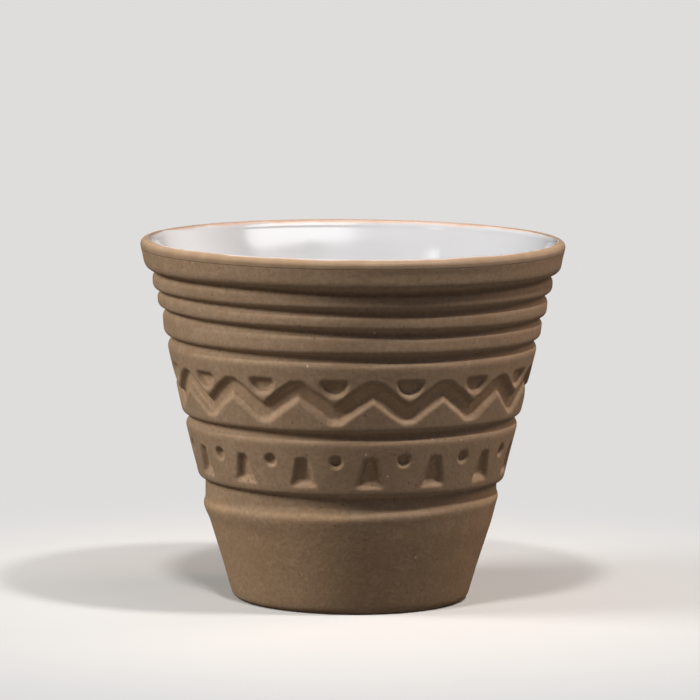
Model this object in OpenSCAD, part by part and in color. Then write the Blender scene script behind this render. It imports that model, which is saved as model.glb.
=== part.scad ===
// Small stoneware coffee cup: an unglazed clay body with stepped rings and two pressed bands,
// a white glaze over its inside and a thin tinted glaze over its lip.
// Millimetres, +Z up. The origin is the middle of the foot, on the table.

/* [Lip and collar] */
// Outside radius of the cup at its lip, which all the other radii follow
lip_r = 33; // [29:0.5:37]
// Radius of the rounded lip, half of its thickness
lip_round = 0.95; // [0.85:0.05:1.05]
// Height of the plain collar under the rounded lip
collar_h = 3.9; // [2.8:0.05:5]
// How far the collar leans in towards its lower edge
collar_in = 0.7; // [0.4:0.05:0.9]

/* [Rings] */
// Height of the first ring, under the collar
ring_1_h = 2.6; // [2:0.05:3]
// How far the first ring stands in from the collar
ring_1_step = 1.05; // [0.8:0.05:1.4]
// How far the first ring leans in towards its lower edge
ring_1_in = 0.2; // [0.1:0.05:0.5]
// Height of the second ring
ring_2_h = 2.75; // [2.2:0.05:3.4]
// How far the second ring stands in from the first
ring_2_step = 0.55; // [0.3:0.05:0.8]
// How far the second ring leans in towards its lower edge
ring_2_in = 0.3; // [0.1:0.05:0.6]
// Height of the third ring
ring_3_h = 3.45; // [3:0.05:4.4]
// How far the third ring stands in from the second
ring_3_step = 0.55; // [0.3:0.05:0.8]
// How far the third ring leans in towards its lower edge
ring_3_in = 0.35; // [0.3:0.05:0.8]
// Rounding of the upper edge of a ring
ring_round = 0.9; // [0.6:0.05:1]
// Rounding of the lower edges of the rings and the bands
low_round = 0.9; // [0.5:0.05:1]
// Rounding of the lower edge of the collar
collar_round = 1.4; // [1:0.05:1.6]

/* [Grooves] */
// Height of the groove over each ring and band
groove_h = 0.45; // [0.3:0.05:0.7]
// How far a groove goes in behind the widest line of the ring or band under it
groove_in = 0.4; // [0.25:0.05:0.55]

/* [Zigzag band] */
// Height of the band with the zigzag
band_1_h = 11.65; // [11.4:0.05:14]
// How far the zigzag band stands in from the third ring
band_1_step = 0.25; // [0.1:0.05:0.5]
// How far the zigzag band leans in towards its lower edge
band_1_in = 2.7; // [2.4:0.05:3.2]
// Height of the whole zigzag channel, from the low bends to the high ones
zig_h = 6.9; // [6:0.1:7.4]
// Height of the middle of the zigzag over the lower edge of its band
zig_up = 4.7; // [4.4:0.05:5]
// Half of the level part of the channel at each bend
zig_flat = 1; // [0.6:0.1:1.2]
// How far the inner corners of the channel reach past its middle
zig_inner = 0.1; // [0:0.05:0.3]
// How far the half moon's level top stands over the high bends of the zigzag
moon_over = 0.2; // [0.1:0.05:0.5]
// Width of the half moon at its top
moon_w = 3.9; // [3:0.1:4.2]
// Height of the half moon
moon_h = 2.9; // [2.4:0.1:3]
// Radius of the round lower end of the half moon
moon_end_r = 1; // [0.7:0.05:1.1]

/* [Wedge and dot band] */
// Height of the band with the wedges and the dots
band_2_h = 9.7; // [9.4:0.05:11]
// How far the wedge band stands in from the zigzag band
band_2_step = 0.15; // [0.1:0.05:0.5]
// How far the wedge band leans in towards its lower edge
band_2_in = 2.4; // [2:0.05:2.8]
// Rounding of the upper edge of both bands
shoulder_round = 1.3; // [0.8:0.05:1.5]
// Height of a wedge's base over the lower edge of the band
wedge_up = 1.4; // [1:0.05:1.6]
// Height of a wedge
wedge_h = 4.8; // [4:0.1:5]
// Width of a wedge at its base
wedge_low_w = 4.6; // [3.6:0.1:4.8]
// Width of a wedge at its top
wedge_top_w = 2; // [1.4:0.1:2.4]
// Height of a dot's middle over the lower edge of the band
dot_up = 5.65; // [5:0.05:6.2]
// Radius of the ball that presses a dot
dot_ball_r = 1.3; // [1:0.05:1.5]

/* [Pattern] */
// How many times the pattern goes round the cup
repeats = 15; // [12:1:17]
// Angle of one low bend of the zigzag from the front, to the right, degrees
turn = -5.2; // [-12:0.2:12]
// Depth of the pressed pattern, square to the surface
press = 0.85; // [0.5:0.05:0.95]

/* [Foot] */
// Height of the plain foot
foot_h = 17; // [15:0.1:19]
// How far the foot's slope leans in from its top to the table
foot_in = 5.35; // [4.4:0.05:6]
// How far the foot stands out from the set-back strip over it
foot_out = 0.8; // [0.65:0.05:1.1]
// Rounding of the foot's upper edge
foot_round = 1.5; // [1:0.05:1.6]
// Rounding of the foot's lower edge
heel_round = 1.3; // [0.8:0.05:1.6]
// Height of the set-back strip over the foot
strip_h = 1.9; // [1.2:0.05:2.4]
// How far the strip stands in from the wedge band
strip_step = 1.0; // [0.9:0.05:1.4]
// Width of the ring that stands on the table
stand_w = 3; // [2.4:0.1:4]
// Depth of the hollow inside that ring
hollow_h = 0.8; // [0.4:0.05:1.2]

/* [Inside] */
// Height of the finished floor inside the cup
floor_h = 5.6; // [5:0.1:8]
// How far the wall's inside stands in from the foot's lower edge, at the floor and before rounding
floor_in = 2.45; // [1.9:0.05:3.4]
// Rounding between the floor and the wall
floor_round = 6; // [3:0.1:8]
// Thickness of the wall where it bends, at the top of the third ring
bend_t = 2.55; // [2.1:0.05:3]
// Thickness of both glazes, measured level
glaze_t = 0.35; // [0.25:0.05:0.4]
// How far the tinted glaze comes down outside, from the middle of the rounded lip
tint_drop = 0.35; // [0.1:0.05:0.8]
// How far the white glaze goes over the lip, from the inside edge
white_over = 0.65; // [0.4:0.05:0.8]

/* [Hidden] */
$fn = 96;
// What each cut runs past the solid that it cuts
over = lip_round;
whole_turn = 360;
// Angle that one leg of the zigzag takes
leg_deg = whole_turn / repeats / 2;
collar_low_r = lip_r - collar_in;
ring_1_top_r = collar_low_r - ring_1_step;
ring_1_low_r = ring_1_top_r - ring_1_in;
ring_2_top_r = ring_1_low_r - ring_2_step;
ring_2_low_r = ring_2_top_r - ring_2_in;
ring_3_top_r = ring_2_low_r - ring_3_step;
ring_3_low_r = ring_3_top_r - ring_3_in;
band_1_top_r = ring_3_low_r - band_1_step;
band_1_low_r = band_1_top_r - band_1_in;
band_2_top_r = band_1_low_r - band_2_step;
band_2_low_r = band_2_top_r - band_2_in;
strip_r = band_2_low_r - strip_step;
foot_top_r = strip_r + foot_out;
foot_low_r = foot_top_r - foot_in;
floor_r = foot_low_r - floor_in;
bend_r = ring_3_top_r - bend_t;
band_2_z = foot_h + strip_h;
band_2_end = band_2_z + band_2_h;
band_1_z = band_2_end + groove_h;
band_1_end = band_1_z + band_1_h;
ring_3_z = band_1_end + groove_h;
ring_3_end = ring_3_z + ring_3_h;
ring_2_z = ring_3_end + groove_h;
ring_2_end = ring_2_z + ring_2_h;
ring_1_z = ring_2_end + groove_h;
ring_1_end = ring_1_z + ring_1_h;
collar_z = ring_1_end + groove_h;
lip_z = collar_z + collar_h;
cup_h = lip_z + lip_round;
lip_mid_r = lip_r - lip_round;
lip_in_r = lip_mid_r - lip_round;
lip_core_r = lip_round - glaze_t;
tint_z = lip_z - tint_drop;
white_r = lip_in_r + white_over;
// How far the two bands lean in towards their lower edge
lean_1 = atan(band_1_in / band_1_h);
lean_2 = atan(band_2_in / band_2_h);
wall_lean = atan((bend_r - floor_r) / (ring_3_end - floor_h));
zig_z = band_1_z + zig_up;
zig_low_z = zig_z - zig_h / 2;
zig_high_z = zig_z + zig_h / 2;
// How far each leg of the zigzag runs into the next
zig_join = zig_flat / 5;
// Where the cutters of each band begin, inside the deepest part of the pattern
press_1_r = band_1_low_r - press - over;
press_2_r = band_2_low_r - press - over;
floor_mid_z = floor_h + floor_round;
floor_mid_r = floor_r + floor_round * tan(wall_lean) - floor_round / cos(wall_lean);
hollow_r = foot_low_r - stand_w;
clay_colour = [0.66, 0.53, 0.40];
white_colour = [0.93, 0.93, 0.91];
tint_colour = [0.78, 0.60, 0.34];

// Radius of a leaning face at height z
function face_r(low_r, low_z, lean, z) = low_r + (z - low_z) * tan(lean);

// Radius of the widest line of a step whose upper edge is rounded
function widest_r(low_r, top_r, h, top_edge) =
    let (lean = atan((top_r - low_r) / h)) top_r + top_edge * (1 - tan(lean) - 1 / cos(lean));

// Half of one step of the outline: a face that leans in downwards, with both edges rounded
module step_2d(low_r, low_z, top_r, top_z, low_edge, top_edge) {
    lean = atan((top_r - low_r) / (top_z - low_z));
    low_mid_z = low_z + low_edge;
    top_mid_z = top_z - top_edge;
    low_mid_r = face_r(low_r, low_z, lean, low_mid_z) - low_edge / cos(lean);
    top_mid_r = face_r(low_r, low_z, lean, top_mid_z) - top_edge / cos(lean);
    polygon([
        [0, low_z],
        [low_mid_r, low_z],
        [low_mid_r + low_edge * cos(lean), low_mid_z - low_edge * sin(lean)],
        [top_mid_r + top_edge * cos(lean), top_mid_z - top_edge * sin(lean)],
        [top_mid_r, top_z],
        [0, top_z]
    ]);
    translate([low_mid_r, low_mid_z]) circle(r = low_edge);
    translate([top_mid_r, top_mid_z]) circle(r = top_edge);
}

// What stands at the bottom of the grooves, behind the steps
module core_2d() {
    band_2_core = widest_r(band_2_low_r, band_2_top_r, band_2_h, shoulder_round) - groove_in;
    band_1_core = widest_r(band_1_low_r, band_1_top_r, band_1_h, shoulder_round) - groove_in;
    ring_3_core = widest_r(ring_3_low_r, ring_3_top_r, ring_3_h, ring_round) - groove_in;
    ring_2_core = widest_r(ring_2_low_r, ring_2_top_r, ring_2_h, ring_round) - groove_in;
    ring_1_core = widest_r(ring_1_low_r, ring_1_top_r, ring_1_h, ring_round) - groove_in;
    polygon([
        [0, foot_h - foot_round],
        [strip_r, foot_h - foot_round],
        [strip_r, band_2_z + low_round],
        [band_2_core, band_2_end - shoulder_round],
        [band_2_core, band_1_z + low_round],
        [band_1_core, band_1_end - shoulder_round],
        [band_1_core, ring_3_z + low_round],
        [ring_3_core, ring_3_end - ring_round],
        [ring_3_core, ring_2_z + low_round],
        [ring_2_core, ring_2_end - ring_round],
        [ring_2_core, ring_1_z + low_round],
        [ring_1_core, ring_1_end - ring_round],
        [ring_1_core, collar_z + collar_round],
        [0, collar_z + collar_round]
    ]);
}

// The collar: its face leans in downwards from the widest line of the lip
module collar_2d() {
    lean = atan(collar_in / collar_h);
    mid_z = collar_z + collar_round;
    mid_r = face_r(collar_low_r, collar_z, lean, mid_z) - collar_round / cos(lean);
    polygon([
        [0, collar_z],
        [mid_r, collar_z],
        [mid_r + collar_round * cos(lean), mid_z - collar_round * sin(lean)],
        [lip_r, lip_z],
        [0, lip_z]
    ]);
    translate([mid_r, mid_z]) circle(r = collar_round);
}

// Half of the cup's whole outline, filled to the axis
module outline_2d() {
    step_2d(foot_low_r, 0, foot_top_r, foot_h, heel_round, foot_round);
    core_2d();
    step_2d(band_2_low_r, band_2_z, band_2_top_r, band_2_end, low_round, shoulder_round);
    step_2d(band_1_low_r, band_1_z, band_1_top_r, band_1_end, low_round, shoulder_round);
    step_2d(ring_3_low_r, ring_3_z, ring_3_top_r, ring_3_end, low_round, ring_round);
    step_2d(ring_2_low_r, ring_2_z, ring_2_top_r, ring_2_end, low_round, ring_round);
    step_2d(ring_1_low_r, ring_1_z, ring_1_top_r, ring_1_end, low_round, ring_round);
    collar_2d();
    translate([lip_mid_r, lip_z]) circle(r = lip_round);
}

// The space inside the cup, grown by a coat's thickness: level at the wall, square at the floor
module space_2d(coat) {
    floor_coat = coat * cos(wall_lean);
    corner_r = floor_round + floor_coat;
    polygon([
        [0, floor_h - floor_coat],
        [floor_mid_r, floor_h - floor_coat],
        [floor_mid_r + corner_r * cos(wall_lean), floor_mid_z - corner_r * sin(wall_lean)],
        [bend_r + coat, ring_3_end],
        [lip_in_r + coat, lip_z],
        [lip_in_r + coat, cup_h + over],
        [0, cup_h + over]
    ]);
    translate([floor_mid_r, floor_mid_z]) circle(r = corner_r);
}

// The space inside, with the part of its corner circle left of the axis cut off
module half_space_2d(coat) {
    intersection() {
        space_2d(coat);
        square([lip_r, cup_h + over + over]);
    }
}

// The clay inside the rounded lip, which both glazes cover
module lip_core_2d() {
    translate([lip_mid_r, lip_z]) circle(r = lip_core_r);
    translate([lip_mid_r - lip_core_r, tint_z - over]) square([lip_core_r + lip_core_r, tint_drop + over]);
}

// The layer of a leaning band that the pattern reaches: from the pressed depth to past the face
module skin(low_r, low_z, top_r, top_z, lean) {
    level = press / cos(lean);
    rotate_extrude() polygon([
        [low_r - level, low_z],
        [low_r + over, low_z],
        [top_r + over, top_z],
        [top_r - level, top_z]
    ]);
}

// Stretches a flat shape out from radius r, with its x to the right and its y up
module outward(r, deg, z) {
    rotate([0, 0, deg]) translate([0, -r, z]) rotate([90, 0, 0]) linear_extrude(height = lip_r - r) children();
}

// One leg of the zigzag, falling to the right, with its ends run on past the level cuts
module leg_2d() {
    run = face_r(band_1_low_r, band_1_z, lean_1, zig_z) * tan(leg_deg / 2);
    end = run + zig_join;
    slope = (zig_h / 2 + zig_inner) / (run + end - zig_flat);
    end_z = zig_h / 2 + (end - run + zig_flat) * slope;
    polygon([
        [-end, zig_inner],
        [-end, end_z],
        [end, -zig_inner],
        [end, -end_z]
    ]);
}

// A half moon: level at its top and round at its lower end
module moon_2d() {
    end_z = moon_end_r - moon_h;
    polygon([
        [-moon_w / 2, 0],
        [-moon_end_r, end_z],
        [moon_end_r, end_z],
        [moon_w / 2, 0]
    ]);
    translate([0, end_z]) circle(r = moon_end_r);
}

// A wedge: its sides close in towards its top
module wedge_2d() {
    polygon([
        [-wedge_low_w / 2, 0],
        [wedge_low_w / 2, 0],
        [wedge_top_w / 2, wedge_h],
        [-wedge_top_w / 2, wedge_h]
    ]);
}

// The zigzag channel, cut level along its low bends and along its high ones
module zigzag() {
    low_r = face_r(band_1_low_r, band_1_z, lean_1, zig_low_z);
    high_r = face_r(band_1_low_r, band_1_z, lean_1, zig_high_z);
    intersection() {
        skin(low_r, zig_low_z, high_r, zig_high_z, lean_1);
        for (i = [0 : repeats - 1]) {
            low_deg = turn + i * leg_deg * 2;
            outward(press_1_r, low_deg - leg_deg / 2, zig_z) leg_2d();
            outward(press_1_r, low_deg + leg_deg / 2, zig_z) mirror([1, 0]) leg_2d();
        }
    }
}

// The half moons, each over a low bend of the zigzag
module moons() {
    for (i = [0 : repeats - 1]) intersection() {
        skin(band_1_low_r, band_1_z, band_1_top_r, band_1_end, lean_1);
        outward(press_1_r, turn + i * leg_deg * 2, zig_high_z + moon_over) moon_2d();
    }
}

// The wedges, which stand under the high bends of the zigzag
module wedges() {
    for (i = [0 : repeats - 1]) intersection() {
        skin(band_2_low_r, band_2_z, band_2_top_r, band_2_end, lean_2);
        outward(press_2_r, turn + leg_deg + i * leg_deg * 2, band_2_z + wedge_up) wedge_2d();
    }
}

// The round dots between the wedges, each the mark of a ball
module dots() {
    dot_z = band_2_z + dot_up;
    dot_r = face_r(band_2_low_r, band_2_z, lean_2, dot_z) + (dot_ball_r - press) / cos(lean_2);
    for (i = [0 : repeats - 1]) rotate([0, 0, turn + i * leg_deg * 2]) translate([0, -dot_r, dot_z])
        sphere(r = dot_ball_r);
}

// The unglazed clay, with the pattern pressed in and the hollow under its foot
module clay_body() {
    color(clay_colour) difference() {
        rotate_extrude() {
            difference() {
                outline_2d();
                half_space_2d(glaze_t);
                translate([lip_mid_r + lip_core_r, tint_z]) square([over, cup_h]);
                translate([0, lip_z]) square([lip_r + over, cup_h]);
                square([hollow_r, hollow_h]);
            }
            translate([lip_mid_r, lip_z]) circle(r = lip_core_r);
        }
        zigzag();
        moons();
        wedges();
        dots();
    }
}

// The white glaze over the inside and up to the top of the lip
module white_glaze() {
    color(white_colour) rotate_extrude() {
        difference() {
            half_space_2d(glaze_t);
            half_space_2d(0);
            translate([0, lip_z]) square([lip_r, cup_h]);
        }
        difference() {
            translate([lip_mid_r, lip_z]) circle(r = lip_round);
            translate([lip_mid_r, lip_z]) circle(r = lip_core_r);
            translate([white_r, lip_z - lip_r]) square([lip_r, lip_r + lip_r]);
            translate([0, lip_z - lip_r]) square([lip_r, lip_r]);
        }
    }
}

// The tinted glaze over the top and the outer edge of the lip
module lip_glaze() {
    color(tint_colour) rotate_extrude() difference() {
        intersection() {
            outline_2d();
            translate([white_r, tint_z]) square([lip_r, cup_h]);
        }
        lip_core_2d();
    }
}

clay_body();
white_glaze();
lip_glaze();
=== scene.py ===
import math
from collections import namedtuple

import bpy
import numpy as np
from mathutils import Matrix, Vector


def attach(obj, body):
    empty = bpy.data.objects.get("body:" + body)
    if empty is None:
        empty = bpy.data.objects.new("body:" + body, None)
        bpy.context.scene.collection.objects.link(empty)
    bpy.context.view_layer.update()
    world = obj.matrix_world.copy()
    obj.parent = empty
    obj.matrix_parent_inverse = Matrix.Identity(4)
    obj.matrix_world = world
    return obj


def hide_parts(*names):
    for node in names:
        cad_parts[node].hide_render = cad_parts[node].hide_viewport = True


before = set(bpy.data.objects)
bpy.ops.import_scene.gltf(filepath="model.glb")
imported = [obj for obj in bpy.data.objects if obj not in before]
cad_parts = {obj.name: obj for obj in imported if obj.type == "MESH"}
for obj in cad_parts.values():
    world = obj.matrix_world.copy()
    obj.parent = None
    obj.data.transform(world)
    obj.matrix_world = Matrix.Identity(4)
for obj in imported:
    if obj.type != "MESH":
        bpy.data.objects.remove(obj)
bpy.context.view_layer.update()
MM = 0.001

# Sizes
# They are the part's, but the rings' top edges and the grooves' depth are a little larger, and the
# lip's radius is 0.002 smaller, so that the mesh stays inside the CAD model's box.
Step = namedtuple("Step", "low_r low_z top_r top_z low_edge top_edge")
FOOT = Step(18.25, 0.0, 23.6, 17.0, 1.3, 1.5)
BAND_2 = Step(23.8, 18.9, 26.2, 28.6, 0.9, 1.3)
BAND_1 = Step(26.35, 29.05, 29.05, 40.7, 0.9, 1.3)
RING_3 = Step(29.3, 41.15, 29.65, 44.6, 0.9, 1.0)
RING_2 = Step(30.2, 45.05, 30.5, 47.8, 0.9, 1.0)
RING_1 = Step(31.05, 48.25, 31.25, 50.85, 0.9, 1.0)
COLLAR = Step(32.3, 51.3, 33.0, 55.2, 1.4, 0.0)
STEPS = (FOOT, BAND_2, BAND_1, RING_3, RING_2, RING_1, COLLAR)
STRIP_R = 22.8
GROOVE_IN = 0.45

HOLLOW_R, HOLLOW_H = 15.25, 0.8
# the rounded edge of the hollow under the foot: how far out from its radius, and the height
HOLLOW_EDGE = ((-0.25, HOLLOW_H), (0, HOLLOW_H - 0.2), (0.15, 0.1), (0.35, 0))
# radii at which the outline is still under the cup, already on its standing ring, and on its side
UNDER_R, RING_R, SIDE_R = HOLLOW_R - 1, HOLLOW_R + 1, HOLLOW_R + 2

FLOOR_R, FLOOR_H, FLOOR_ROUND = 15.8, 5.6, 6.0
BEND_R, BEND_Z = 27.1, 44.6

LIP_R, LIP_Z, LIP_ROUND = 32.998, 55.2, 0.95
LIP_MID_R = LIP_R - LIP_ROUND
LIP_IN_R = LIP_MID_R - LIP_ROUND
GLAZE_T = 0.35
LIP_CORE_R = LIP_ROUND - GLAZE_T
TINT_DROP = 0.35
TINT_Z = LIP_Z - TINT_DROP
WHITE_OVER = 0.65
WHITE_R = LIP_IN_R + WHITE_OVER

REPEATS, TURN = 15, -5.2


# Lines and curves
def arc(mid_r, mid_z, radius, start, end, count):
    t = np.radians(np.linspace(start, end, count))
    return [(mid_r + radius * math.cos(x), mid_z + radius * math.sin(x)) for x in t]


def smooth(x, a, b):
    """0 under a, 1 over b, and an S-curve between them."""
    t = np.clip((x - a) / (b - a), 0, 1)
    return t * t * (3 - 2 * t)


def between(x, rise, fall):
    """1 after the rise and before the fall, each given by its start and end."""
    return smooth(x, *rise) * (1 - smooth(x, *fall))


def smooth_min(a, b, k):
    """The smaller of two distances, with the corner between them rounded over k."""
    h = np.clip(0.5 + 0.5 * (b - a) / k, 0, 1)
    return b + (a - b) * h - k * h * (1 - h)


# points closer than this are one point
SAME_PLACE = 1e-9
# how many sigmas away a point still has a share in the rounding
SOFT_REACH = 4


def gaps_of(line):
    return np.hypot(*np.diff(line, axis=0).T)


def points_at(places, along, line):
    """Points at these lengths along a line. along has the lengths at which its own points lie."""
    return np.stack([np.interp(places, along, line[:, i]) for i in (0, 1)], 1)


def resample(line, step):
    """The same line with points at even spacing, about one step apart."""
    line = line[np.append(True, gaps_of(line) > SAME_PLACE)]
    along = np.append(0, np.cumsum(gaps_of(line)))
    count = max(2, int(round(along[-1] / step)) + 1)
    return points_at(np.linspace(0, along[-1], count), along, line)


def soften(line, sigma, step, keep):
    """Rounds every corner of an even line a little. keep is 1 where a point has to stay."""
    reach = int(SOFT_REACH * sigma / step)
    weights = np.exp(-0.5 * (np.arange(-reach, reach + 1) * step / sigma) ** 2)
    weights /= weights.sum()
    soft = line.copy()
    for i in (0, 1):
        padded = np.pad(line[:, i], reach, mode="edge")
        soft[:, i] = np.convolve(padded, weights, "valid")
    return line * keep[:, None] + soft * (1 - keep[:, None])


# The outside as one line
OUTLINE_POINTS = 5500
LINE_STEP = 0.02
SOFT_ALL, SOFT_RINGS = 0.16, 0.12
RINGS_START = (39.5, 41)
LIP_KEPT, FOOT_KEPT = 0.3, 0.02


def lean_of(step):
    return math.atan((step.top_r - step.low_r) / (step.top_z - step.low_z))


def face_normal(step):
    lean = lean_of(step)
    return math.cos(lean), -math.sin(lean)


def step_radius(step, z):
    """Radius of one step of the cup at each height z, and 0 over and under it."""
    lean = lean_of(step)
    r = step.low_r + (z - step.low_z) * math.tan(lean)
    for edge, mid_z, side in ((step.low_edge, step.low_z + step.low_edge, -1),
                              (step.top_edge, step.top_z - step.top_edge, 1)):
        if not edge:
            continue
        mid_r = step.low_r + (mid_z - step.low_z) * math.tan(lean) - edge / math.cos(lean)
        past = (z - mid_z) * side + side * edge * math.sin(lean) > 0
        r = np.where(past, mid_r + np.sqrt(np.maximum(edge ** 2 - (z - mid_z) ** 2, 0)), r)
    return np.where((z >= step.low_z) & (z <= step.top_z), r, 0)


def widest(step):
    lean = lean_of(step)
    return step.top_r + step.top_edge * (1 - math.tan(lean) - 1 / math.cos(lean))


def in_gap(z, low, high):
    """Where the line can leave one step's top edge and hasn't reached the next one's low edge."""
    return (z > low.top_z - low.top_edge) & (z < high.low_z + high.low_edge)


def outer_radius(z):
    """Radius of the outside at each height: the steps, and what stands between them."""
    r = np.where(in_gap(z, FOOT, BAND_2), STRIP_R, 0)
    for low, high in zip(STEPS[1:-1], STEPS[2:]):
        r = np.maximum(r, np.where(in_gap(z, low, high), widest(low) - GROOVE_IN, 0))
    for step in STEPS:
        r = np.maximum(r, step_radius(step, z))
    return r


def outer_profile():
    """The whole outside from the middle of the underside up to the core of the lip, as one line."""
    line = [(0, HOLLOW_H)] + [(HOLLOW_R + out, z) for out, z in HOLLOW_EDGE]
    heights = np.linspace(0, TINT_Z, OUTLINE_POINTS)
    line += list(zip(outer_radius(heights), heights))
    line.append((LIP_MID_R + LIP_CORE_R, TINT_Z))
    return np.array(line, float)


def soft_outline():
    """The outside with its corners rounded, but for the lip's seat and the standing ring."""
    line = resample(outer_profile(), LINE_STEP)
    r, z = line.T
    keep = ((z > TINT_Z - LIP_KEPT) | ((z < FOOT_KEPT) & (r > HOLLOW_R))).astype(float)
    line = soften(line, SOFT_ALL, LINE_STEP, keep)
    # the rings are softer than the bands
    keep = np.maximum(keep, 1 - smooth(line[:, 1], *RINGS_START))
    return soften(line, SOFT_RINGS, LINE_STEP, keep)


# Rows of the body's mesh
# the heights that carry the pattern take finer rows and rings
PATTERN_ZONES = ((20.05, 25.75), (29.8, 38.0))
ZONE_MARGIN = 0.1
ROW_MIN, ROW_MAX, ROW_TURN = 0.17, 0.9, 0.16
ROW_PATTERN, ROW_UNDER = 0.2, 2.5
LEAST_BEND = 1e-3
ROW_GROWTH = 2.2
BEND_REACH, GROWTH_REACH, GROWTH_EVERY = 0.3, 0.8, 5


def body_rows():
    """Points of the outline, close together where it bends and where the pattern is."""
    line = soft_outline()
    r, z = line.T
    gaps = gaps_of(line)
    along = np.append(0, np.cumsum(gaps))
    # the spacing wanted at each point of the line
    turn = np.gradient(np.unwrap(np.arctan2(np.gradient(z), np.gradient(r))), along)
    near = int(BEND_REACH / LINE_STEP)
    window = np.ones(2 * near + 1) / (2 * near + 1)
    bend = np.convolve(np.pad(np.abs(turn), near, mode="edge"), window, "valid")
    want = np.clip(ROW_TURN / np.maximum(bend, LEAST_BEND), ROW_MIN, ROW_MAX)
    for low, high in PATTERN_ZONES:
        in_zone = (r > SIDE_R) & (z > low - ZONE_MARGIN) & (z < high + ZONE_MARGIN)
        want = np.where(in_zone, np.minimum(want, ROW_PATTERN), want)
    want = np.where(r < UNDER_R, ROW_UNDER, want)
    # rows grow apart slowly
    reach = int(GROWTH_REACH / LINE_STEP)
    at = np.arange(0, len(want), GROWTH_EVERY)
    least = np.array([want[max(0, i - reach):i + reach + 1].min() for i in at])
    want = np.minimum(want, np.interp(np.arange(len(want)), at, least) * ROW_GROWTH)
    rows = np.append(0, np.cumsum(gaps / ((want[1:] + want[:-1]) / 2)))
    wanted_rows = np.linspace(0, rows[-1], int(round(rows[-1])) + 1)
    return points_at(np.interp(wanted_rows, rows, along), along, line)


# The pressed pattern
PITCH = 2 * math.pi / REPEATS
# a bank starts a little outside the shape, and its width is how far it slopes inward
BANK_OUT = 0.12

ZIG_R, ZIG_Z, ZIG_H = 27.2, 33.75, 6.9
ZIG_RISE, ZIG_HALF_W = 2.09, 1.66
ZIG_CUT, ZIG_CORNER = 0.02, 0.35
ZIG_PRESS, ZIG_BANK = 0.85, 1.15
# the channel's edges wander a little: size, waves round the cup, and the turn for each mm of height
ZIG_UNEVEN = ((0.05, 15, 1.0), (0.04, 23, -1.3))

MOON_Z, MOON_ROUND, MOON_MID = 37.4, 2.15, 0.75
MOON_NARROW, MOON_CORNER = 0.98, 0.5
MOON_PRESS, MOON_BANK = 0.78, 1.05

BAND_2_R = 24.95
DOT_Z, DOT_R = 24.55, 1.08
DOT_PRESS, DOT_BANK = 0.78, 0.85

WEDGE_Z, WEDGE_H, WEDGE_HALF_W = 20.3, 4.9, 2.3
WEDGE_TAPER, WEDGE_COS, WEDGE_CORNER = 0.27, 0.965, 0.55
WEDGE_PRESS, WEDGE_BANK = 0.85, 1.15

# how far each press of the tool strays from its place, along the band and up
MOON_STRAY, DOT_STRAY, WEDGE_STRAY = (0.06, 0.05), (0.05, 0.05), 0.05
# angles in radians that make the strays of one press and the next differ
STRAY_STEP, STRAY_ROW, WEDGE_STRAY_STEP = 2.1, 1.7, 3.3


def bank(inside, width):
    """A sloping bank with a rounded upper edge and a rounded foot."""
    return smooth(inside, -BANK_OUT, width)


def segment_distance(u, v, a, b):
    ab = np.array(b) - np.array(a)
    t = np.clip(((u - a[0]) * ab[0] + (v - a[1]) * ab[1]) / (ab @ ab), 0, 1)
    return np.hypot(u - a[0] - t * ab[0], v - a[1] - t * ab[1])


def zigzag_depth(theta, along, z):
    half = PITCH * ZIG_R / 2
    u, v = np.abs(along) * 2 * half, z - ZIG_Z
    corners = ((-half, ZIG_RISE), (0, -ZIG_RISE), (half, ZIG_RISE), (2 * half, -ZIG_RISE))
    off = np.minimum.reduce([segment_distance(u, v, a, b) for a, b in zip(corners, corners[1:])])
    uneven = sum(size * np.sin(count * theta + v * turn) for size, count, turn in ZIG_UNEVEN)
    inside = smooth_min(ZIG_HALF_W + uneven - off, ZIG_H / 2 - ZIG_CUT - np.abs(v), ZIG_CORNER)
    return ZIG_PRESS * bank(inside, ZIG_BANK)


def moon_depth(along, z, stray):
    u = along * PITCH * ZIG_R - stray(1, MOON_STRAY[0])
    v = MOON_Z - z - stray(2, MOON_STRAY[1])
    inside = smooth_min(v, MOON_ROUND - np.hypot(u * MOON_NARROW, v - MOON_MID), MOON_CORNER)
    return MOON_PRESS * bank(inside, MOON_BANK)


def dot_depth(along, z, stray):
    u = along * PITCH * BAND_2_R - stray(3, DOT_STRAY[0])
    v = z - DOT_Z - stray(4, DOT_STRAY[1])
    off = np.hypot(u, v)
    return DOT_PRESS * bank(DOT_R - off, DOT_BANK)


def wedge_depth(turns, z):
    """The wedges stand halfway between the dots."""
    k = np.round(turns - 0.5)
    stray = WEDGE_STRAY * np.sin(k * WEDGE_STRAY_STEP)
    u = np.abs((turns - 0.5 - k) * PITCH * BAND_2_R - stray)
    v = z - WEDGE_Z
    side = (WEDGE_HALF_W - v * WEDGE_TAPER - u) * WEDGE_COS
    inside = smooth_min(smooth_min(v, side, WEDGE_CORNER), WEDGE_H - v, WEDGE_CORNER)
    return WEDGE_PRESS * bank(inside, WEDGE_BANK)


def pattern_depth(theta, z):
    """How deep the pattern is pressed at each point. theta and z are arrays of one shape."""
    turns = (theta - math.radians(TURN)) / PITCH
    i = np.round(turns)
    along = turns - i

    def stray(row, size):
        return size * np.sin(i * (STRAY_STEP + row) + row * STRAY_ROW)

    return np.maximum.reduce([zigzag_depth(theta, along, z), moon_depth(along, z, stray),
                              dot_depth(along, z, stray), wedge_depth(turns, z)])


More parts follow.
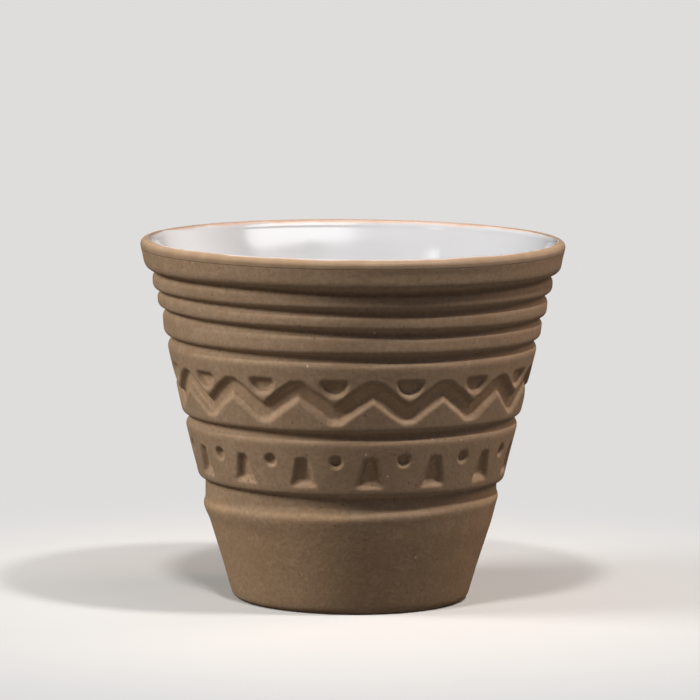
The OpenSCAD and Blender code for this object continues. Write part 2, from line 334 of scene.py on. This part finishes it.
# Unevenness of a thrown cup
# size in mm, seed, lowest and highest count of waves round the cup, how fast the higher ones get
# smaller, and the turn for each mm of height
Wobble = namedtuple("Wobble", "size seed low high power turn")
OUT_WOBBLE = Wobble(0.05, 3, 2, 6, 1.0, 0.02)
UP_WOBBLES = (Wobble(0.08, 11, 2, 5, 0.6, 0.035), Wobble(0.04, 12, 3, 9, 0.6, -0.11))
OUT_RISE, OUT_FALL = (0.5, 6), (53.6, 54.7)
UP_RISE, UP_FALL = (12, 15), (52.2, 53.2)
# how much higher the outline lies on the right than at the front, at each height
TILT_Z = (16, 17.2, 18.9, 23, 28, 41, 44.8, 48)
TILT = (0.72, 0.6, -0.1, 0.1, 0.15, 0, -0.5, -0.1)
WAVE_PEAK = 1.6


def waves(theta, wobble):
    """A smooth closed wobble round the cup, about -1 to 1."""
    rng = np.random.default_rng(wobble.seed)
    out = np.zeros_like(theta)
    total = 0
    for k in range(wobble.low, wobble.high + 1):
        a = k ** -wobble.power
        out = out + a * np.sin(k * theta + rng.uniform(0, 2 * math.pi))
        total += a * a
    return out / math.sqrt(total / 2) / WAVE_PEAK


def wobble_at(wobble, theta, z):
    return wobble.size * waves(theta + z * wobble.turn, wobble)


# Meshes
FINE, COARSE, GLAZE_RING = 720, 240, 360
# under these a radius counts as on the axis, and a height as on the table
ON_AXIS, ON_TABLE = 1e-6, 0.01


def make_mesh(name, verts, faces):
    me = bpy.data.meshes.new(name)
    me.from_pydata(verts.tolist(), [], faces)
    me.validate()
    for poly in me.polygons:
        poly.use_smooth = True
    ob = bpy.data.objects.new(name, me)
    bpy.context.scene.collection.objects.link(ob)
    return ob


def add_values(ob, name, values):
    """Stores one number at each vertex, for a material to read."""
    attribute = ob.data.attributes.new(name, "FLOAT", "POINT")
    attribute.data.foreach_set("value", np.concatenate(values).astype(np.float32))


def fan(few, few_count, many, many_count):
    """Faces between a ring and one with a whole multiple of its count, from their first indices."""
    faces, each = [], many_count // few_count
    middle = each // 2
    for j in range(few_count):
        here, after, start = few + j, few + (j + 1) % few_count, many + j * each
        faces += [(here, start + x + 1, start + x) for x in range(middle)]
        faces.append((here, after, start + middle))
        faces += [(after, many + (j * each + x + 1) % many_count, start + x)
                  for x in range(middle, each)]
    return faces


def stitch(rings):
    """Faces between rings, each a first index and a count; a ring of one vertex is a pole."""
    faces = []
    for (a, a_count), (b, b_count) in zip(rings[:-1], rings[1:]):
        if a_count == b_count == 1:
            continue
        if a_count == 1:
            faces += [(a, b + (j + 1) % b_count, b + j) for j in range(b_count)]
        elif b_count == 1:
            faces += [(a + j, a + (j + 1) % a_count, b) for j in range(a_count)]
        elif a_count == b_count:
            faces += [(a + j, a + (j + 1) % a_count, b + (j + 1) % b_count, b + j)
                      for j in range(a_count)]
        elif b_count > a_count:
            faces += fan(a, a_count, b, b_count)
        else:
            faces += [face[::-1] for face in fan(b, b_count, a, a_count)]
    return faces


def round_angles(count):
    return np.arange(count) * 2 * math.pi / count


def ring_at(theta, r, z):
    """Places round the axis. Angle 0 is the front, at -Y, and it grows to the right."""
    return np.stack([r * np.sin(theta), -r * np.cos(theta), z + 0 * theta], 1)


def turned_mesh(name, rings, closed=False):
    """A mesh through rings of places, which meets its first ring again where it is closed."""
    starts = np.append(0, np.cumsum([len(x) for x in rings]))
    spans = [(int(start), len(x)) for start, x in zip(starts, rings)]
    if closed:
        spans.append(spans[0])
    return make_mesh(name, np.concatenate(rings) * MM, stitch(spans))


def turned(name, path, closed=False):
    rings = [ring_at(round_angles(1 if r < ON_AXIS else GLAZE_RING), r, z) for r, z in path]
    return turned_mesh(name, rings, closed)


# The three pieces
WALL_STEP, MOUTH_STEP, TURN_STEP, TURN_EVERY = 0.9, 0.35, 0.04, 5
LIP_SOFT, LIP_SOFT_ENDS = 0.3, 0.6
# under the lip the wall swells a little: how far, and where that starts and ends, down from the lip
SWELL, SWELL_RISE, SWELL_FALL = 0.17, (0.5, 7.5), (6, LIP_Z - BEND_Z)
# the lip's glaze runs down over the clay: how far down, and how proud of the clay
SKIRT = ((0.18, 0.003), (0.09, 0.007), (0, 0.007))
SEAT_GAP = 0.01
# points on each rounding
CORNER_POINTS, SEAT_POINTS, OVER_POINTS, TINT_POINTS, CORE_POINTS = 24, 12, 24, 22, 8


def in_space(coat):
    """The line of the space inside the cup, from the axis at its floor up to the lip."""
    lean = math.atan((BEND_R - FLOOR_R) / (BEND_Z - FLOOR_H))
    mid_r = FLOOR_R + FLOOR_ROUND * math.tan(lean) - FLOOR_ROUND / math.cos(lean)
    c = coat * math.cos(lean)
    corner = arc(mid_r, FLOOR_H + FLOOR_ROUND, FLOOR_ROUND + c, -90, -math.degrees(lean),
                 CORNER_POINTS)
    return [(0, FLOOR_H - c)] + corner + [(BEND_R + coat, BEND_Z), (LIP_IN_R + coat, LIP_Z)]


def white_edge(radius):
    """The angle at which a rounding about the middle of the lip meets the white glaze's edge."""
    return math.degrees(math.acos((WHITE_R - LIP_MID_R) / radius))


def body_ring(r, z, outside):
    """One ring of the body: its places, and how deep the pattern is pressed at each."""
    if r < ON_AXIS:
        count = 1
    elif outside and r > SIDE_R and any(a <= z <= b for a, b in PATTERN_ZONES):
        count = FINE
    else:
        count = COARSE
    theta = round_angles(count)
    depth, out, up = np.zeros(count), 0, 0
    if outside and r > RING_R and z > ON_TABLE:
        out = between(z, OUT_RISE, OUT_FALL) * (wobble_at(OUT_WOBBLE, theta, z) - OUT_WOBBLE.size)
        up = sum(wobble_at(w, theta, z) for w in UP_WOBBLES)
        up = between(z, UP_RISE, UP_FALL) * (up + np.interp(z, TILT_Z, TILT) * np.sin(theta))
    if count == FINE:
        depth = pattern_depth(theta, np.full(count, z))
        normal = face_normal(BAND_1 if z > BAND_2.top_z else BAND_2)
        out, up = out - depth * normal[0], up - depth * normal[1]
    return ring_at(theta, r + out, z + up), depth


def clay_body():
    seat = arc(LIP_MID_R, LIP_Z, LIP_CORE_R, 0, 180, SEAT_POINTS)
    hidden = seat + in_space(GLAZE_T)[-2::-1]
    path = [(r, z, True) for r, z in body_rows()] + [(r, z, False) for r, z in hidden]
    rings, depths = zip(*[body_ring(*point) for point in path])
    ob = turned_mesh("cup_body", rings)
    add_values(ob, "pressed", depths)
    return ob


def white_glaze():
    inside = in_space(0)
    path = resample(np.array(inside[:-2]), WALL_STEP).tolist()
    path += resample(np.array(inside[-3:-1]), WALL_STEP)[1:].tolist()
    mouth = resample(np.array(inside[-2:]), MOUTH_STEP)[1:]
    mouth[:, 0] += SWELL * between(LIP_Z - mouth[:, 1], SWELL_RISE, SWELL_FALL)
    over = arc(LIP_MID_R, LIP_Z, LIP_ROUND, 180, white_edge(LIP_ROUND), OVER_POINTS)
    turn = resample(np.array(mouth.tolist() + over[1:]), TURN_STEP)
    from_end = np.minimum(np.arange(len(turn)), np.arange(len(turn))[::-1]) * TURN_STEP
    turn = soften(turn, LIP_SOFT, TURN_STEP, 1 - smooth(from_end, 0, LIP_SOFT_ENDS)).tolist()
    path += turn[:-1:TURN_EVERY] + turn[-1:]
    path += arc(LIP_MID_R, LIP_Z, LIP_CORE_R, white_edge(LIP_CORE_R), 180, CORE_POINTS)
    path += in_space(GLAZE_T)[-2::-1]
    return turned("glaze_inside", path)


def lip_glaze():
    slope = (LIP_R - COLLAR.low_r) / (LIP_Z - COLLAR.low_z)
    tint_r = LIP_R - TINT_DROP * slope
    loop = [(LIP_MID_R + LIP_CORE_R, TINT_Z), (tint_r - SEAT_GAP, TINT_Z)]
    loop += [(tint_r - down * slope + proud, TINT_Z - down) for down, proud in SKIRT]
    loop += arc(LIP_MID_R, LIP_Z, LIP_ROUND, 0, white_edge(LIP_ROUND), TINT_POINTS)
    loop += arc(LIP_MID_R, LIP_Z, LIP_CORE_R, white_edge(LIP_CORE_R), 0, SEAT_POINTS)
    return turned("glaze_lip", loop, closed=True)


# Materials
# sockets of the Mix node that carry colours
MIX_FACTOR, MIX_A, MIX_B, MIX_RESULT = 0, 6, 7, 2


class Nodes:
    """A material, with short names for the nodes that the looks use."""

    def __init__(self, name):
        self.mat = bpy.data.materials.new(name)
        self.mat.use_nodes = True
        self.tree = self.mat.node_tree
        self.tree.nodes.clear()
        self.out = self.add("ShaderNodeOutputMaterial")
        self.bsdf = self.add("ShaderNodeBsdfPrincipled")
        self.link(self.bsdf.outputs[0], self.out.inputs[0])
        self.coords = self.add("ShaderNodeTexCoord").outputs["Object"]

    def add(self, kind, **sets):
        node = self.tree.nodes.new(kind)
        for k, v in sets.items():
            setattr(node, k, v)
        return node

    def link(self, a, b):
        self.tree.links.new(a, b)

    def put(self, socket, value):
        if isinstance(value, bpy.types.NodeSocket):
            self.link(value, socket)
        else:
            socket.default_value = value

    def parts(self, kind, value):
        """The three parts of a colour or a place."""
        node = self.add(kind)
        self.link(value, node.inputs[0])
        return node.outputs

    def place(self):
        return self.parts("ShaderNodeSeparateXYZ", self.coords)

    def noise(self, scale, detail, rough):
        node = self.add("ShaderNodeTexNoise")
        self.link(self.coords, node.inputs["Vector"])
        node.inputs["Scale"].default_value = scale
        node.inputs["Detail"].default_value = detail
        node.inputs["Roughness"].default_value = rough
        return node.outputs["Fac"]

    def voronoi(self, scale):
        node = self.add("ShaderNodeTexVoronoi")
        self.link(self.coords, node.inputs["Vector"])
        node.inputs["Scale"].default_value = scale
        return node.outputs

    def math(self, op, a, b=0.5):
        node = self.add("ShaderNodeMath", operation=op)
        self.put(node.inputs[0], a)
        self.put(node.inputs[1], b)
        return node.outputs[0]

    def times(self, a, b):
        return self.math("MULTIPLY", a, b)

    def ramp(self, fac, a, b, low=0.0, high=1.0):
        """low under a, high over b, and an S-curve between them."""
        node = self.add("ShaderNodeMapRange", clamp=True, interpolation_type="SMOOTHSTEP")
        self.put(node.inputs["Value"], fac)
        node.inputs["From Min"].default_value = a
        node.inputs["From Max"].default_value = b
        node.inputs["To Min"].default_value = low
        node.inputs["To Max"].default_value = high
        return node.outputs["Result"]

    def mix(self, fac, a, b, blend="MIX"):
        node = self.add("ShaderNodeMix", data_type="RGBA", blend_type=blend)
        self.put(node.inputs[MIX_FACTOR], fac)
        self.put(node.inputs[MIX_A], a)
        self.put(node.inputs[MIX_B], b)
        return node.outputs[MIX_RESULT]

    def tint(self, fac, colour, by):
        """The colour, multiplied where fac is 1."""
        return self.mix(fac, colour, self.mix(1.0, colour, (*by, 1), "MULTIPLY"))

    def bump(self, height, strength, distance, normal=None):
        node = self.add("ShaderNodeBump")
        node.inputs["Strength"].default_value = strength
        node.inputs["Distance"].default_value = distance
        self.link(height, node.inputs["Height"])
        if normal is not None:
            self.link(normal, node.inputs["Normal"])
        return node.outputs[0]

    def radius(self):
        """Distance from the cup's axis."""
        x, y, _ = self.place()
        return self.math("SQRT", self.math("ADD", self.times(x, x), self.times(y, y)))


def linear(c):
    """The linear value of one part of an sRGB colour, both from 0 to 1."""
    return c / 12.92 if c <= 0.04045 else ((c + 0.055) / 1.055) ** 2.4


def srgb(r, g, b):
    return (linear(r / 255), linear(g / 255), linear(b / 255), 1.0)


# the part of a noise's range over which most ramps go from one end to the other
MIDDLING = (0.3, 0.7)

CLAY_BROAD = (srgb(154, 130, 106), srgb(147, 122, 98))
CLAY_PALE, CLAY_DEEP = srgb(158, 135, 112), srgb(141, 117, 93)
SPECK_DARK, SPECK_LIGHT = srgb(84, 64, 46), srgb(222, 208, 186)
SPECK_R, DARK_SHARE, LIGHT_SHARE = 0.16, 0.14, 0.008
DARK_COVER, LIGHT_COVER = 0.4, 0.55
CLAY_ROUGH, CLAY_SPECULAR = (0.82, 0.96), 0.25
# strength of each bump, and its depth
SAND, LUMPS, PITS, GLAZE_WAVES = (0.35, 0.00012), (0.25, 0.0005), (0.5, 0.0001), (0.12, 0.0006)
# the foot's paler, warmer tone: partly the clay's own, partly painted bounce light from the table
FOOT_TONE_AND_BOUNCE, FOOT_BOUNCE_Z, FOOT_BOUNCE_UNEVEN = (1.12, 1.09, 1.02), (0.013, 0.018), 0.002
# painted light that lifts the shade in the pressed floors, and the depths over which it comes in
PRESSED_PAINTED_FILL, PAINTED_FILL_DEPTH = (1.3, 1.28, 1.26), (0.5, 0.8)

WHITE = (srgb(184, 185, 188), srgb(178, 179, 182))
# painted light: a paler white towards the left, and the x over which it fades out
WHITE_PAINTED_LIGHT, PAINTED_LIGHT_X = srgb(204, 205, 208), (-0.03, -0.01)
ROSE = (srgb(198, 180, 170), srgb(188, 166, 152))
TAN = (srgb(166, 140, 116), srgb(154, 128, 105))
TAN_BACK = (srgb(186, 161, 147), srgb(174, 148, 133))
BARE = (srgb(152, 128, 103), srgb(142, 118, 94))
# distances from the axis over which one colour of the lip turns into the next
TO_ROSE, TO_TAN, TO_BARE = (0.0315, 0.03172), (0.03168, 0.0319), (0.0322, 0.0329)
LIP_ROUGHER = (0.0322, 0.0328)
EDGE_UNEVEN = 0.00016
# the first two lie further out at the front and further in at the back: how fast they move along Y,
# and how fast outward on both sides of the middle
EDGE_ALONG_Y, EDGE_OFF_MIDDLE = 0.0195, 0.0065
TAN_BACK_Y = (0.0, 0.028)
INSIDE_ROUGH, LIP_ROUGH, BARE_ROUGH = (0.05, 0.09), (0.25, 0.4), 0.4
INSIDE_COAT, LIP_COAT, COAT_ROUGH = 0.5, 0.2, 0.04


def clay_material():
    m = Nodes("raw_clay")
    broad = m.ramp(m.noise(scale=55, detail=3, rough=0.55), 0.35, 0.68)
    fine = m.noise(scale=1500, detail=4, rough=0.65)
    colour = m.mix(broad, *CLAY_BROAD)
    colour = m.mix(m.ramp(m.noise(scale=420, detail=3, rough=0.6), 0.36, 0.66), colour, CLAY_PALE)
    colour = m.mix(m.ramp(fine, *MIDDLING), CLAY_DEEP, colour)
    # a few grains of sand show as dark or light specks
    grains = m.voronoi(900)
    speck = m.math("LESS_THAN", grains["Distance"], SPECK_R)
    pick = m.parts("ShaderNodeSeparateColor", grains["Color"])[0]
    dark = m.times(speck, m.math("GREATER_THAN", pick, 1 - DARK_SHARE))
    light = m.times(speck, m.math("LESS_THAN", pick, LIGHT_SHARE))
    colour = m.mix(m.times(dark, DARK_COVER), colour, SPECK_DARK)
    colour = m.mix(m.times(light, LIGHT_COVER), colour, SPECK_LIGHT)
    # the foot is paler and warmer below an uneven line: partly the clay's own tone, partly painted
    # light standing in for light bounced up from the table
    uneven = m.ramp(broad, 0, 1, -FOOT_BOUNCE_UNEVEN, FOOT_BOUNCE_UNEVEN)
    low = m.ramp(m.math("ADD", m.place()[2], uneven), *FOOT_BOUNCE_Z, 1, 0)
    colour = m.tint(low, colour, FOOT_TONE_AND_BOUNCE)
    # painted light: the floors that the tool pressed are made paler, to lift the shade that falls
    # in them
    pressed = m.add("ShaderNodeAttribute", attribute_name="pressed").outputs["Fac"]
    colour = m.tint(m.ramp(pressed, *PAINTED_FILL_DEPTH), colour, PRESSED_PAINTED_FILL)
    m.link(colour, m.bsdf.inputs["Base Color"])
    m.link(m.ramp(fine, 0.2, 0.8, *CLAY_ROUGH), m.bsdf.inputs["Roughness"])
    m.bsdf.inputs["Specular IOR Level"].default_value = CLAY_SPECULAR
    sand = m.bump(fine, *SAND)
    lumps = m.bump(m.noise(scale=160, detail=3, rough=0.5), *LUMPS, sand)
    pits = m.bump(m.math("SUBTRACT", 1.0, dark), *PITS, lumps)
    m.link(pits, m.bsdf.inputs["Normal"])
    return m.mat


def glaze_material(name, lip):
    """A coat of glaze: white inside, turning rose, tan and clay over the lip along uneven lines."""
    m = Nodes(name)
    x, y, _ = m.place()
    uneven = m.ramp(m.noise(scale=120, detail=3, rough=0.6), 0.25, 0.75, -EDGE_UNEVEN, EDGE_UNEVEN)
    edge = m.math("ADD", m.radius(), uneven)
    off_middle = m.times(m.math("ABSOLUTE", y), EDGE_OFF_MIDDLE)
    shift = m.math("SUBTRACT", m.times(y, EDGE_ALONG_Y), off_middle)
    inner_edge = m.math("ADD", edge, shift)
    white = m.mix(m.ramp(m.noise(scale=40, detail=2, rough=0.5), *MIDDLING), *WHITE)
    # painted light: the white is paler towards the left, to brighten the inside wall there, which
    # the lamps leave darker
    white = m.mix(m.ramp(x, *PAINTED_LIGHT_X), WHITE_PAINTED_LIGHT, white)
    thin = m.ramp(m.noise(scale=330, detail=3, rough=0.6), *MIDDLING)
    tan = m.mix(m.ramp(y, *TAN_BACK_Y), m.mix(thin, *TAN), m.mix(thin, *TAN_BACK))
    colour = m.mix(m.ramp(inner_edge, *TO_ROSE), white, m.mix(thin, *ROSE))
    colour = m.mix(m.ramp(inner_edge, *TO_TAN), colour, tan)
    colour = m.mix(m.ramp(edge, *TO_BARE), colour, m.mix(thin, *BARE))
    m.link(colour, m.bsdf.inputs["Base Color"])
    if lip:
        patchy = m.ramp(m.noise(scale=300, detail=3, rough=0.6), *MIDDLING, *LIP_ROUGH)
        rough = m.math("ADD", patchy, m.ramp(edge, *LIP_ROUGHER, 0, BARE_ROUGH))
    else:
        rough = m.ramp(m.noise(scale=60, detail=2, rough=0.5), *MIDDLING, *INSIDE_ROUGH)
    m.link(rough, m.bsdf.inputs["Roughness"])
    m.bsdf.inputs["Coat Weight"].default_value = LIP_COAT if lip else INSIDE_COAT
    m.bsdf.inputs["Coat Roughness"].default_value = COAT_ROUGH
    m.link(m.bump(m.noise(scale=70, detail=2, rough=0.4), *GLAZE_WAVES), m.bsdf.inputs["Normal"])
    return m.mat


# Stage and lamps
MIDDLE = (0, 0, 0.035)
BACKDROP = srgb(222, 221, 220)
STAGE_HALF, STAGE_ROUGH, STAGE_SPECULAR = 4.0, 0.7, 0.2
STAGE_SEEN, STAGE_LIT = (srgb(192, 191, 190), srgb(188, 187, 186)), srgb(92, 90, 88)
# from the cup outward the floor fades into the backdrop
STAGE_FADE = (0.028, 0.11)

# power that a lamp 1 m away needs to show a facing surface at its own colour
FULL_LIGHT = 9.87
AMBIENT, AMBIENT_COLOUR = 0.06, (1.0, 0.95, 0.92, 1)
LAMP_AWAY = 1.0
Lamp = namedtuple("Lamp", "name azimuth elevation size share colour")
LAMPS = (
    Lamp("key_left", -76, 35, 0.4, 1.0, (1.0, 0.98, 0.95)),
    Lamp("top_left", -12, 64, 0.1, 0.58, (1.0, 0.97, 0.94)),
    Lamp("top_right", 52, 64, 0.1, 0.8, (1.0, 0.96, 0.92)),
    Lamp("right", 106, 36, 0.4, 0.33, (1.0, 0.74, 0.57)),
)
# a small lamp under the table, which only the foot's underside can see
UNDER_SIZE, UNDER_Z, UNDER_POWER = 0.028, -0.006, 0.0045

# The cards stand round the front and the right. Each has a line of (azimuth, elevation of the lower
# edge, strength), and levels of (degrees over that edge, share of the strength).
CARD_AWAY, CARD_STEPS = 0.8, 64
CARDS = {
    "long_card": (
        ((-70, 27.5, 0), (-45, 31.5, 0.2), (-15, 34.6, 0.6), (-4, 34.6, 2.0), (4, 34.4, 4.5),
         (27, 33.4, 6.0), (50, 30.6, 6.5), (62, 28.6, 6.0), (70, 27.6, 4.5), (76, 27.2, 0)),
        ((0, 0), (1, 1), (12, 1), (40, 0.3))),
    "round_card": (
        ((-61, 27.5, 0), (-59, 27.3, 3.5), (-54, 27.0, 7.0), (-49, 27.3, 3.5), (-47, 27.5, 0)),
        ((0, 0), (1, 1), (2.6, 1), (3.6, 0))),
    "side_card": (
        ((55, 3, 0), (80, 3, 1.5), (114, 3, 1.1), (136, 2, 0.6), (150, 2, 0)),
        ((0, 0), (7, 1), (15, 1), (23, 0))),
}


def around(azimuth, elevation, distance):
    """A place round the cup: azimuth 0 is the front and grows to the right, in degrees."""
    a, e = math.radians(azimuth), math.radians(elevation)
    out = distance * math.cos(e)
    return (out * math.sin(a), -out * math.cos(a), MIDDLE[2] + distance * math.sin(e))


def area(name, at, look, size, power, colour=(1, 1, 1)):
    light = bpy.data.lights.new(name, "AREA")
    light.energy = power
    light.color = colour
    light.shape = "DISK"
    light.size = size
    ob = bpy.data.objects.new(name, light)
    bpy.context.scene.collection.objects.link(ob)
    ob.location = at
    ob.rotation_mode = "QUATERNION"
    ob.rotation_quaternion = (Vector(look) - Vector(at)).to_track_quat("-Z", "Y")
    return ob


def floor_material():
    m = Nodes("floor_pale")
    seen = m.add("ShaderNodeLightPath").outputs["Is Camera Ray"]
    pale = m.mix(m.ramp(m.noise(scale=9, detail=3, rough=0.5), *MIDDLING), *STAGE_SEEN)
    m.link(m.mix(seen, STAGE_LIT, pale), m.bsdf.inputs["Base Color"])
    m.bsdf.inputs["Roughness"].default_value = STAGE_ROUGH
    m.bsdf.inputs["Specular IOR Level"].default_value = STAGE_SPECULAR
    # away from the cup the floor is as even as the backdrop
    plain = m.add("ShaderNodeEmission")
    plain.inputs["Color"].default_value = BACKDROP
    even = m.add("ShaderNodeMixShader")
    m.link(m.times(m.ramp(m.radius(), *STAGE_FADE), seen), even.inputs[0])
    m.link(m.bsdf.outputs[0], even.inputs[1])
    m.link(plain.outputs[0], even.inputs[2])
    # seen from under the table, the floor lets the camera through
    under = m.add("ShaderNodeNewGeometry").outputs["Backfacing"]
    swap = m.add("ShaderNodeMixShader")
    m.link(m.times(under, seen), swap.inputs[0])
    m.link(even.outputs[0], swap.inputs[1])
    m.link(m.add("ShaderNodeBsdfTransparent").outputs[0], swap.inputs[2])
    m.link(swap.outputs[0], m.out.inputs[0])
    return m.mat


def studio_world():
    """A dim even light, and the plain backdrop that the camera sees."""
    world = bpy.data.worlds.new("studio")
    bpy.context.scene.world = world
    world.use_nodes = True
    tree = world.node_tree
    tree.nodes.clear()
    seen = tree.nodes.new("ShaderNodeLightPath").outputs["Is Camera Ray"]
    swap = tree.nodes.new("ShaderNodeMixShader")
    tree.links.new(seen, swap.inputs[0])
    for socket, colour, strength in ((1, AMBIENT_COLOUR, AMBIENT), (2, BACKDROP, 1.0)):
        light = tree.nodes.new("ShaderNodeBackground")
        light.inputs["Color"].default_value = colour
        light.inputs["Strength"].default_value = strength
        tree.links.new(light.outputs[0], swap.inputs[socket])
    tree.links.new(swap.outputs[0], tree.nodes.new("ShaderNodeOutputWorld").inputs[0])


def glaze_cards():
    """Bright cards that only a reflection in the glaze shows."""
    m = Nodes("card_light")
    glow = m.add("ShaderNodeEmission")
    strength = m.add("ShaderNodeAttribute", attribute_name="glow").outputs["Fac"]
    m.link(strength, glow.inputs["Strength"])
    m.link(glow.outputs[0], m.out.inputs[0])
    n = CARD_STEPS
    for name, (line, levels) in CARDS.items():
        azimuths, lows, powers = np.array(line, float).T
        along = np.linspace(azimuths[0], azimuths[-1], n)
        places, glows = [], []
        for up, share in levels:
            places += [around(a, np.interp(a, azimuths, lows) + up, CARD_AWAY) for a in along]
            glows.append(np.interp(along, azimuths, powers) * share)
        starts = [row * n + i for row in range(len(levels) - 1) for i in range(n - 1)]
        card = make_mesh(name, np.array(places), [(a, a + 1, a + n + 1, a + n) for a in starts])
        add_values(card, "glow", glows)
        card.data.materials.append(m.mat)
        card.visible_camera = False
        card.visible_diffuse = False
        card.visible_shadow = False
        card.visible_transmission = False


def stage():
    corners = np.array([[-1, -1, 0], [1, -1, 0], [1, 1, 0], [-1, 1, 0]]) * STAGE_HALF
    floor = make_mesh("floor", corners, [(0, 1, 2, 3)])
    floor.data.materials.append(floor_material())
    floor.visible_shadow = False
    studio_world()
    for lamp in LAMPS:
        at = around(lamp.azimuth, lamp.elevation, LAMP_AWAY)
        ob = area(lamp.name, at, MIDDLE, lamp.size, FULL_LIGHT * lamp.share, lamp.colour)
        ob.visible_glossy = False
    under = area("under", (0, 0, UNDER_Z), (0, 0, 0), UNDER_SIZE, UNDER_POWER)
    under.visible_camera = False
    glaze_cards()


# The photograph's view
# found from the rim, the grooves and the foot; lengths in the picture are its pixels
PICTURE, PX_PER_M = 700, 6410.0
AXIS_X, MIDDLE_Y, MIDDLE_Z = 351.4, 417.5, 0.0281
ELEVATION, ROLL, DISTANCE = math.radians(7.62), math.radians(0.5), 0.8
SENSOR, CLIP = 36.0, (0.05, 20)


def camera():
    focal = PX_PER_M * DISTANCE
    cam = bpy.data.cameras.new("photo_camera")
    cam.sensor_width = SENSOR
    cam.lens = focal / PICTURE * SENSOR
    cam.clip_start, cam.clip_end = CLIP
    ob = bpy.data.objects.new("photo_camera", cam)
    bpy.context.scene.collection.objects.link(ob)
    back = Vector((0, -math.cos(ELEVATION), math.sin(ELEVATION)))
    ob.location = Vector((0, 0, MIDDLE_Z)) + back * DISTANCE
    aim = (-back).to_track_quat("-Z", "Y").to_matrix()
    up = math.atan((MIDDLE_Y - PICTURE / 2) / focal)
    side = math.atan((PICTURE / 2 - AXIS_X) / focal)
    turn = Matrix.Rotation(ROLL, 3, "Z")
    turn = turn @ Matrix.Rotation(up, 3, "X") @ Matrix.Rotation(-side, 3, "Y")
    ob.rotation_mode = "QUATERNION"
    ob.rotation_quaternion = (aim @ turn).to_quaternion()
    bpy.context.scene.camera = ob


# The scene
body = clay_body()
body.data.materials.append(clay_material())
inside = white_glaze()
inside.data.materials.append(glaze_material("white_glaze", False))
lip = lip_glaze()
lip.data.materials.append(glaze_material("lip_glaze", True))
for piece, node, slot in ((body, "clay_body", "raw_clay"),
                          (inside, "white_glaze", "white_glaze"),
                          (lip, "lip_glaze", "lip_glaze")):
    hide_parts(node)
    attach(piece, "root")
stage()
camera()
bpy.context.scene.view_settings.view_transform = "Standard"
